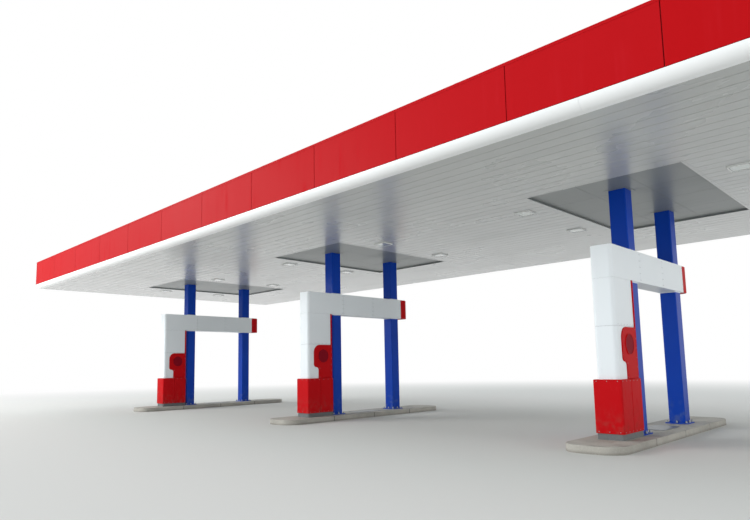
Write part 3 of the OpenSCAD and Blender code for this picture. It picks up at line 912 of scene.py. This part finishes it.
PORTAL_R = 0.09
LEG_SPLIT = 2.40
CLADDING_GAP = 0.004
CLADDING_EDGE = 0.0015
CORE_IN = 0.010
CORE_HALF = 0.05
BEAM_SPLITS = (-1.15, 0.25)
BEAM_EDGE = 0.006
COLLAR_W = 0.035
COLLAR_T = 0.004
COLLAR_H = 0.022
CAP_R = 0.2
CAP_EDGE = 0.014


def portal_leg(i, white, dark):
    """White cladding of the leg, in two lengths round a dark core."""
    low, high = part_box(f"portal_leg_{i}")
    outline = rectangle(low.x, low.y, high.x, high.y, PORTAL_R, 0.006, steps=8)
    shape, core = Shape(), Shape()
    for k, (bottom, top) in enumerate(pairwise((low.z, LEG_SPLIT, high.z))):
        shape.plate(outline, bottom + k * CLADDING_GAP / 2, top - CLADDING_GAP / 2,
                    low_edge=k * CLADDING_EDGE, high_edge=CLADDING_EDGE)
    for joint in (LEG_SPLIT, high.z):
        core.plate(inset(outline, CORE_IN + 0.002), joint - CORE_HALF, joint + CORE_HALF)
    shape.finished(f"leg_cladding_{i}", white, "portal_white", f"portal_leg_{i}")
    core.finished(f"leg_core_{i}", dark, "portal_white")


def portal_beam(i, white, dark):
    """White cladding of the beam in three lengths, open where the columns pass through."""
    low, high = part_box(f"portal_beam_{i}")
    shape, core, collars = Shape(), Shape(), Shape()
    for k, (front, rear) in enumerate(pairwise((low.y, *BEAM_SPLITS, high.y))):
        outline = rectangle(low.x, front + (CLADDING_GAP / 2 if k else 0), high.x,
                            rear - CLADDING_GAP / 2, 0.007 if k else PORTAL_R, 0.007, steps=8)
        shape.plate(outline, low.z, high.z, low_edge=BEAM_EDGE, high_edge=BEAM_EDGE)
    core.plate(rectangle(low.x + CORE_IN, low.y + 0.2, high.x - CORE_IN, high.y + 0.02),
               low.z + CORE_IN, high.z - CORE_IN)
    for centre in column_middles(i):
        inner = square(centre, COLUMN_W / 2, COLUMN_R, steps=4)
        outer, lip = inset(inner, -COLLAR_W), inset(inner, -COLLAR_T)
        for z, way in ((high.z, 1), (low.z, -1)):
            collars.ring([(line, z + way * h) for line, h in (
                (outer, 0), (outer, COLLAR_T), (lip, COLLAR_T), (lip, COLLAR_H), (inner, COLLAR_H),
                (inner, 0))])
    shape.finished(f"beam_cladding_{i}", white, "portal_white", f"portal_beam_{i}",
                   cutter=column_holes(i, low.z, high.z))
    core.finished(f"beam_core_{i}", dark, "portal_white",
                  cutter=column_holes(i, low.z, high.z, 2 * COLUMN_FIT))
    collars.finished(f"beam_collars_{i}", white, "portal_white")


def beam_caps(red):
    """Rounded red ends of the beams, their rims turned over."""
    low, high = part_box("beam_caps")
    shape = Shape()
    for i in ISLANDS:
        beam_low, beam_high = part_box(f"portal_beam_{i}")
        outline = rectangle(beam_low.x, low.y, beam_high.x, high.y, 0.015, CAP_R, steps=12)
        shape.plate(outline, low.z, high.z, low_edge=CAP_EDGE, high_edge=CAP_EDGE)
    shape.finished("beam_end_caps", red, "casing_red", "beam_caps")


BASE_TOP = 1.33
BASE_OUT = 0.06
BASE_R = 0.04
BASE_SEAM = 0.5
KICK_H = 0.12
PANEL_TOP = 2.38
PANEL_L = 0.75
STEM_L = 0.56
HEAD_H = 0.70
HEAD_R = 0.24
STRIP_W = 0.05
PANEL_T = 0.018
DISC_R = 0.205
DISC_RIM = 1.06
PANEL_LIP = ((0.004, -0.002), (0.004, 0.002), (0.007, 0.004), (0.011, 0.004), (0.014, 0.002), (0.014, -0.002))


def leg_base(i, red, dark, disc_red):
    """Red casing on a recessed kick, its shoulders rounded, with a seam, side panels and discs."""
    leg_low, leg_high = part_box(f"portal_leg_{i}")
    low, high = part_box(f"leg_base_{i}")
    front, rear = leg_low.y - BASE_OUT, leg_high.y
    seam = front + BASE_SEAM
    casing, kick, panels, discs, rims = Shape(), Shape(), Shape(), Shape(), Shape()
    for y0, y1, nose in ((front, seam - JOINT / 2, BASE_R), (seam + JOINT / 2, rear - 0.003, 0.017)):
        outline = rectangle(low.x, y0, high.x, y1, nose, 0.017, steps=6)
        casing.plate(outline, low.z + KICK_H, BASE_TOP, Matrix(), 0.004, 0.016)
    kick.plate(rectangle(low.x + 0.02, front + 0.02, high.x - 0.02, rear - 0.01, BASE_R, 0.01),
               low.z, BASE_TOP - 0.02)
    sweep = (PANEL_L - STEM_L) / 2
    neck = PANEL_TOP - HEAD_H
    outline = rounded([
        (rear, BASE_TOP, 0), (rear, leg_high.z, 0), (rear - STRIP_W, leg_high.z, 0),
        (rear - STRIP_W, PANEL_TOP, 0.03), (rear - PANEL_L, PANEL_TOP, HEAD_R), (rear - PANEL_L, neck, sweep),
        (rear - STEM_L, neck, sweep), (rear - STEM_L, BASE_TOP, 0)], 10)
    disc = circle(DISC_R, 48)
    for side, face in ((-1, leg_low.x), (1, leg_high.x)):
        place = Matrix(((0, 0, side, face), (1, 0, 0, 0), (0, 1, 0, 0), (0, 0, 0, 1)))
        panels.plate(outline, 0, PANEL_T, place, 0, 0.004)
        panels.ring([(inset(outline, d), PANEL_T + up) for d, up in PANEL_LIP], place)
        shift = place @ Matrix.Translation((rear - PANEL_L / 2, PANEL_TOP - HEAD_H / 2, 0))
        discs.plate(disc, PANEL_T, PANEL_T + 0.008, shift, 0, 0.003)
        rims.collar([p * DISC_RIM for p in disc], disc, PANEL_T, PANEL_T + 0.012, shift)
    casing.finished(f"leg_casing_{i}", red, "casing_red", f"leg_base_{i}")
    kick.finished(f"leg_kick_{i}", dark, "casing_red")
    panels.finished(f"side_panels_{i}", red, "casing_red")
    discs.finished(f"side_discs_{i}", disc_red, "casing_red")
    rims.finished(f"disc_rims_{i}", red, "casing_red")


# Plinths

PLINTH_R = 0.42
PLINTH_EDGE = 0.016
PLINTH_BAYS = 4
PLINTH_GAP = 0.005
HOLE_D = 0.018
HOLE_DEPTH = 0.09
SEAT_BOLTS = (0.42, 0.86)


def plinth(i, concrete, dark):
    """Concrete island in bays with sealed joints, its arris rounded, with sleeves for the seat bolts."""
    low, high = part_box(f"island_plinth_{i}")
    shape, seal, holes = Shape(), Shape(), Shape()
    cuts = spread(low.y, high.y, PLINTH_BAYS)
    gap, last = PLINTH_GAP, PLINTH_BAYS - 1
    for k, (front, rear) in enumerate(pairwise(cuts)):
        near, far = (PLINTH_R if k == end else PLINTH_EDGE + 0.002 for end in (0, last))
        outline = rectangle(low.x, front + (gap if k else 0), high.x, rear - (gap if k < last else 0),
                            near, far, steps=12)
        shape.plate(outline, low.z, high.z, high_edge=PLINTH_EDGE)
    for cut in cuts[1:-1]:
        seal.plate(rectangle(low.x + 0.004, cut - gap - 0.002, high.x - 0.004, cut + gap + 0.002),
                   low.z, high.z - 0.005)
    x, y = middle(f"island_plinth_{i}")[0], middle("dispenser_seats")[1]
    for across in (-1, 1):
        for along in (-1, 1):
            holes.plate(circle(HOLE_D / 2, 20), high.z - HOLE_DEPTH, high.z + 0.05, Matrix.Translation(
                (x + across * SEAT_BOLTS[0] / 2, y + along * SEAT_BOLTS[1] / 2, 0)))
    seal.finished(f"plinth_joints_{i}", dark, "plinth_concrete")
    shape.finished(f"plinth_{i}", concrete, "plinth_concrete", f"island_plinth_{i}", cutter=holes)


# Rivets and screws of the portals and the soffit

RIVET = fixing(0.012, 0.003, 8, 0.6, 0.016, 0.001)
FLAT_RIVET = {**RIVET, "Head height": 0.002}
SCREW = fixing(0.016, 0.004, 8, 0.75, 0.020, 0.001)
RIVET_PITCH = 0.15
RIVET_EDGE = 0.03
SCREW_PITCH = 0.2
SCREW_EDGE = 0.035
TRAY_RIVET_PITCH = 0.3


def portal_rivets(zinc):
    """Rivets along the edges and the joints of the claddings."""
    lines = []
    edge = RIVET_EDGE
    cap_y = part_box("beam_caps")[0].y
    for i in ISLANDS:
        leg_low, leg_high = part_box(f"portal_leg_{i}")
        low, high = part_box(f"portal_beam_{i}")
        rear = leg_high.y - STRIP_W / 2
        bottom, top = low.z + 2 * edge, high.z - 2 * edge
        joints = [split + d for split in BEAM_SPLITS for d in (-edge, edge)] + [high.y - edge, cap_y + edge]
        for facing, face in ((LEFT, leg_low.x), (RIGHT, leg_high.x)):
            strip, z = face + facing[0] * PANEL_T, LEG_SPLIT + edge
            lines += [(facing, (strip, rear, PANEL_TOP + 0.1), (strip, rear, leg_high.z - edge)),
                      (facing, (face, leg_low.y + PORTAL_R + edge, z), (face, rear - 2 * edge, z))]
            lines += [(facing, (face, y, bottom), (face, y, top)) for y in joints]
    fixings("portal_rivets", zinc, rows_between(RIVET, RIVET_PITCH, lines))


def casing_screws(zinc):
    """Screws round the panels of the red casing and the side panels."""
    lines = []
    edge = SCREW_EDGE
    for i in ISLANDS:
        low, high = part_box(f"leg_base_{i}")
        leg_low, leg_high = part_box(f"portal_leg_{i}")
        corner, rear, stem = BASE_R + edge, leg_high.y - edge, leg_high.y - STEM_L + edge
        for z in (low.z + KICK_H + edge, BASE_TOP - edge):
            lines += [(facing, (face, low.y + corner, z), (face, rear, z))
                      for facing, face in ((LEFT, low.x), (RIGHT, high.x))]
            lines.append((FRONT, (low.x + corner, low.y, z), (high.x - corner, low.y, z)))
        for facing, face in ((LEFT, leg_low.x - PANEL_T), (RIGHT, leg_high.x + PANEL_T)):
            lines += [(facing, (face, y, BASE_TOP + edge), (face, y, top - edge))
                      for y, top in ((rear, PANEL_TOP), (stem, PANEL_TOP - HEAD_H))]
    fixings("casing_screws", zinc, rows_between(SCREW, SCREW_PITCH, lines))


def soffit_screws(zinc):
    """Flat heads round the mouth of each tray and at the corners of the light fittings."""
    lines = []
    z, out, end = SOFFIT_Z - TRAY_RIM_T, TRAY_RIM / 2 - 0.006, 0.02
    for i in ISLANDS:
        low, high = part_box(f"soffit_tray_{i}")
        lines += [(DOWN, (low.x + end, y, z), (high.x - end, y, z)) for y in (low.y - out, high.y + out)]
        lines += [(DOWN, (x, low.y + end, z), (x, high.y - end, z)) for x in (low.x - out, high.x + out)]
    fixings("soffit_rivets", zinc, rows_between(FLAT_RIVET, TRAY_RIVET_PITCH, lines))
    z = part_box("soffit_lights")[0].z
    r = LIGHT_W / 2 - LIGHT_RIM / 2
    rows = [row_of(FLAT_RIVET, DOWN, (x - r, y - r, z), (2 * r, 0, 0), 2, (0, 2 * r, 0), 2)
            for x, y in light_places()]
    fixings("light_screws", zinc, rows)


# Roof

ROOF_FALL = math.radians(2)
RIB_PITCH = 1 / 3
RIB_TOP = 0.060
RIB_FOOT = 0.120
RIB_H = 0.038
RIBS_A_SHEET = 3
PURLINS = 6
PURLIN_FIRST = 0.18
PURLIN_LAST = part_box("cross_girders")[1].y - 0.09
PURLIN_STEP = (PURLIN_LAST - PURLIN_FIRST) / (PURLINS - 1) / math.cos(ROOF_FALL)
LAP_T = 0.0015
CAP_RISE = 0.004
CAP_SCREWS = 0.20
VERGE = ((-0.16, LAP_T), (-0.16, 2 * LAP_T), (0.002, 2 * LAP_T), (0.002, -0.15), (-0.010, -0.162),
         (-0.0115, -0.160), (0.0005, -0.149), (0.0005, LAP_T))
ROOF_SCREW = fixing(0.014, 0.007, 6, 0.95, 0.026, 0.002)


def roof_details(coating, zinc):
    """Side laps, verge flashings, and screws through the ribs into every purlin."""
    laps, verges = Shape(), Shape()
    rows = []
    half, foot = RIB_TOP / 2, RIB_FOOT / 2
    for node, side in (("roof_front", -1), ("roof_rear", 1)):
        low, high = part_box(node)
        near, far = sorted((abs(low.y), abs(high.y)))
        start, end = near / math.cos(ROOF_FALL) + 0.002, far / math.cos(ROOF_FALL)
        ridge = Matrix.Translation((0, 0, high.z + near * math.tan(ROOF_FALL)))
        # Turns (along, down the slope, up from the tops of the ribs) into the frame
        place = ridge @ Matrix.Rotation(-side * ROOF_FALL, 4, "X") @ Matrix.Diagonal((1, side, 1, 1))
        count = math.floor((high.x - foot) / RIB_PITCH)
        ribs = [k * RIB_PITCH for k in range(-count, count + 1)]
        for x in ribs[::RIBS_A_SHEET]:
            section = [(x - half, LAP_T), (x + half, LAP_T), (x + foot + LAP_T, 0.001 - RIB_H),
                       (x + foot - 0.002, -RIB_H - 0.001), (x + half - 0.001, -0.002), (x - half, -0.002)]
            laps.loft([[(x, down, up) for x, up in section] for down in (start, end - 0.002)], place)
        for way in (-1, 1):
            verges.loft([[(way * (high.x + out), down, up) for out, up in VERGE] for down in (start, end)],
                        place)
        common = {"step": (2 * RIB_PITCH, 0, 0), "count": (len(ribs) + 1) // 2, "place": place}
        rows.append(row_of(ROOF_SCREW, UP, (ribs[0], PURLIN_FIRST, 0), column=(0, PURLIN_STEP, 0),
                           columns=PURLINS, **common))
        rows.append(row_of(ROOF_SCREW, UP, (ribs[0], CAP_SCREWS, CAP_RISE), **common))
    laps.finished("roof_side_laps", coating, "roof_sheet")
    verges.finished("verge_flashings", coating, "roof_sheet")
    fixings("roof_screws", zinc, rows)


GUTTER_W = 0.318
GUTTER_STRAPS = 32
GUTTER_STRAP_HALF = 0.0125
GUTTER_JOINTS = 9
SLEEVE_T = 0.0015
BALLOON_R = 0.055
BALLOON_H = 0.09
BALLOON_X = 0.4
BALLOON_WIRE = 0.002


def wire(shape, path, radius, place=Matrix(), sides=6):
    """A round wire along a path that lies in an upright plane."""
    rings = []
    for k, point in enumerate(path):
        ahead = (path[min(k + 1, len(path) - 1)] - path[max(k - 1, 0)]).normalized()
        side = ahead.cross(Vector((0, 0, 1)))
        side = side.normalized() if side.length > 0.01 else Vector((0, 1, 0))
        up = side.cross(ahead)
        rings.append([point + (side * p.x + up * p.y) for p in circle(radius, sides)])
    shape.loft(rings, place)


def gutter_details(zinc):
    """Straps over the gutters, sleeves at their joints and wire balloons in the outlets."""
    low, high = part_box("gutters")
    straps, sleeves, balloons = Shape(), Shape(), Shape()
    front, back, top = -high.y, GUTTER_W - high.y, high.z - 0.004
    t, lap = SLEEVE_T, 0.001
    sleeve = [(front - t, top), (front - t, low.z - t), (back + t, low.z - t), (back + t, top),
              (back - lap, top), (back - lap, low.z + lap), (front + lap, low.z + lap), (front + lap, top)]
    for place in (turned(0), turned(180)):
        for x in spread(low.x + 0.2, high.x - 0.2, GUTTER_STRAPS):
            straps.plate(rectangle(x - GUTTER_STRAP_HALF, front, x + GUTTER_STRAP_HALF, back, 0.003, steps=2),
                         high.z, high.z + 0.003, place)
        for x in spread(low.x, high.x, GUTTER_JOINTS)[1:-1]:
            sleeves.loft([[(x + d, y, z) for y, z in sleeve] for d in (-SLEEVE_HALF, SLEEVE_HALF)], place)
        for i in ISLANDS:
            x = middle(f"island_plinth_{i}")[0] + BALLOON_X
            centre = Vector((x, front + GUTTER_W / 2, low.z + 0.006))
            for angle in spread(0, math.pi, 4)[:-1]:
                across = Vector((math.cos(angle), math.sin(angle), 0)) * BALLOON_R
                wire(balloons, [centre + across * math.cos(a) + Vector((0, 0, BALLOON_H * math.sin(a)))
                                for a in spread(0, math.pi, 10)], BALLOON_WIRE, place)
    straps.finished("gutter_straps", zinc, "zinc_steel")
    sleeves.finished("gutter_sleeves", zinc, "zinc_steel")
    balloons.finished("gutter_balloons", zinc, "zinc_steel")


RAIL_LEVELS = (FASCIA_FOOT + 0.51, FASCIA_TOP - 0.19)
RAIL_LEG = 0.04
RAIL_T = 0.003
RAIL_BOLT = fixing(0.018, 0.010, 6, 0.95, 0.026, 0.002)
RAIL_BOLT_UP = 0.024
POST_BACK = 0.100
POST_ROWS = ((28.22, 12, 0), (11.62, 5, 1))


def fascia_rails(zinc):
    """Angles along the back of the fascia's posts, bolted to each."""
    shape = Shape()
    rows = []
    b, t, leg = POST_BACK, RAIL_T, RAIL_LEG
    for side in SIDES:
        length, spans, no_post = of_side(side, *POST_ROWS)
        pitch = length / spans
        first = no_post * pitch - length / 2
        for z in RAIL_LEVELS:
            shape.run(side, [(b, z), (b + leg, z), (b + leg, z + t), (b + t, z + t), (b + t, z + leg),
                             (b, z + leg)])
            rows.append(row_of(RAIL_BOLT, (0, 1, 0), (first, b + t, z + RAIL_BOLT_UP), (pitch, 0, 0),
                               spans + 1 - 2 * no_post, place=side_place(side)))
    shape.finished("fascia_rails", zinc, "zinc_steel")
    fixings("fascia_rail_bolts", zinc, rows)


# Floor and background

FLOOR_HALF = 200
FLOOR_NEAR = 17
FLOOR_FAR = 44
WHITE = ((1, 1, 1, 1), 1.0)
SKY_LOW = ((0.95, 0.98, 1, 1), 1.68)
SKY_HIGH = ((0.90, 0.96, 1, 1), 1.15)
SKY_RIGHT = ((0.92, 0.97, 1, 1), 0.5)


def seen_or_mirrored(tree):
    """1 for what the camera sees straight, in a mirror or through glass, 0 for what only gives light."""
    path = tree.node("ShaderNodeLightPath", out="Is Camera Ray")
    rays = path + path.output("Is Glossy Ray") + path.output("Is Transmission Ray")
    return rays.math("MINIMUM", 1.0)


def make_floor():
    """Plain pale floor that keeps the shadow near the canopy and fades to white far away."""
    data = bpy.data.meshes.new("floor")
    half = FLOOR_HALF
    data.from_pydata([(-half, -half, 0), (half, -half, 0), (half, half, 0), (-half, half, 0)], [],
                     [(0, 1, 2, 3)])
    placed("floor", data)
    finish = Finish("pale floor")
    far = finish.vector("LENGTH", finish.place).output("Value").ramp(FLOOR_NEAR, FLOOR_FAR)
    matt = finish.node("ShaderNodeBsdfDiffuse", {"Color": tone("d4d3cf")})
    white = finish.node("ShaderNodeEmission", WHITE)
    finish.node("ShaderNodeOutputMaterial", [finish.blend(far * seen_or_mirrored(finish), matt, white)])
    data.materials.append(finish.material)


def make_world():
    """Soft daylight, brighter near the horizon and weaker from the right. What looks at it sees white."""
    world = bpy.data.worlds.new("studio")
    world.use_nodes = True
    world.node_tree.nodes.clear()
    tree = Tree(world.node_tree)
    low, high, right, white = (tree.node("ShaderNodeBackground", light)
                               for light in (SKY_LOW, SKY_HIGH, SKY_RIGHT, WHITE))
    x = tree.node("ShaderNodeSeparateXYZ", [tree.node("ShaderNodeTexCoord", out="Generated")])
    sky = tree.blend(x.ramp(-0.2, 0.8), tree.blend(x.output("Z").ramp(0.0, 0.8), low, high), right)
    tree.node("ShaderNodeOutputWorld", [tree.blend(seen_or_mirrored(tree), sky, white)])
    bpy.context.scene.world = world


def dress(names, finish):
    """Gives CAD nodes that keep their shape a better finish."""
    for name in names:
        slots = nodes[name].data.materials
        slots.clear()
        slots.append(finish)


make_camera()
make_world()
make_floor()
make_lamp("key", (-27, -31, 15), (-4, -3, 2), (20, 12), 8800)
make_lamp("fill", (50, -4, 6), (0, -1, 3), (20, 8), 4600)

red = panel_paint("fascia red", "b80a10", "bf1d26", (2.434, 2.496, 9), 0.25, 0.42, 0.07)
casing_red = structural_paint("casing red", "c00c13", "c4242b", "9a4a44", 2.4, 0.34, 0.07)
disc_red = structural_paint("disc red", "86091c", "94202e", "8a4a4c", 2.4, 0.42, 0.07)
trim_white = panel_paint("bullnose white", "fafbfb", "eff1f1", (3.65, 3.12, 9), 0.20, 0.3, 0.4)
portal_white = structural_paint("portal white", "edf2f5", "dfe6ea", "aaa69c", 2.6, 0.32, 0.35)
column_blue = structural_paint("column blue", "0b3ca8", "1c50b0", "5a6a8c", 2.2, 0.25, 0.2)
strip_white = soffit_paint("soffit white of the strips", "bec0be", "b0b2b0", (5.76, 0.3127, 9),
                           (2.88, 2.6, 0), 0.24, 0.8)
bay_white = soffit_paint("soffit white of the bays", "bec0be", "b0b2b0", (9.6, 0.3059, 9), (0, 0.153, 0),
                         0.24, 0.8)
tray_grey = soffit_paint("tray grey", "7f8482", "767b79", (1.088, 1.291, 9), (0.544, 0, 0), 0.36, 0.3)
light_white = plain_finish("light frame white", "e6e8e6", "dcdedb", 0.3, 0.00005)
glass = lamp_glass()
dark = plain_finish("dark gasket", "2b2d2f", "1e2022", 0.65)
joint_red = plain_finish("fascia gasket red", "5c1216", "480e12", 0.65)
kick_grey = plain_finish("kick grey", "77797a", "676a6b", 0.5)
zinc = zinc_steel("galvanised steel", "9ba0a3", "83898d")
seat_steel = zinc_steel("seat steel", "8f9294", "74787b")
steel = primed_steel()
coating = roof_coating()
concrete = plinth_concrete()

for side in SIDES:
    fascia_side(side, red, joint_red)
    bullnose(side, trim_white)
corner_pieces(red)
coping(red)
soffit(strip_white, bay_white)
for i in ISLANDS:
    soffit_tray(i, tray_grey, bay_white, dark)
    plinth(i, concrete, dark)
    portal_leg(i, portal_white, dark)
    portal_beam(i, portal_white, dark)
    leg_base(i, casing_red, kick_grey, disc_red)
    for row in ROWS:
        column(i, row, column_blue)
beam_caps(casing_red)
soffit_lights(light_white, glass, dark)
for add_details in (anchor_bolts, portal_rivets, casing_screws, soffit_screws):
    add_details(zinc)
roof_details(coating, zinc)
gutter_details(zinc)
fascia_rails(zinc)

dress(["cross_girders", "rafters", "beams_along"], steel)
dress(["purlins", "fascia_brackets", "soffit_rails", "gutters"], zinc)
dress(["roof_front", "roof_rear", "ridge_cap"], coating)
dress(["dispenser_seats"], seat_steel)

bpy.context.scene.view_settings.view_transform = "Standard"
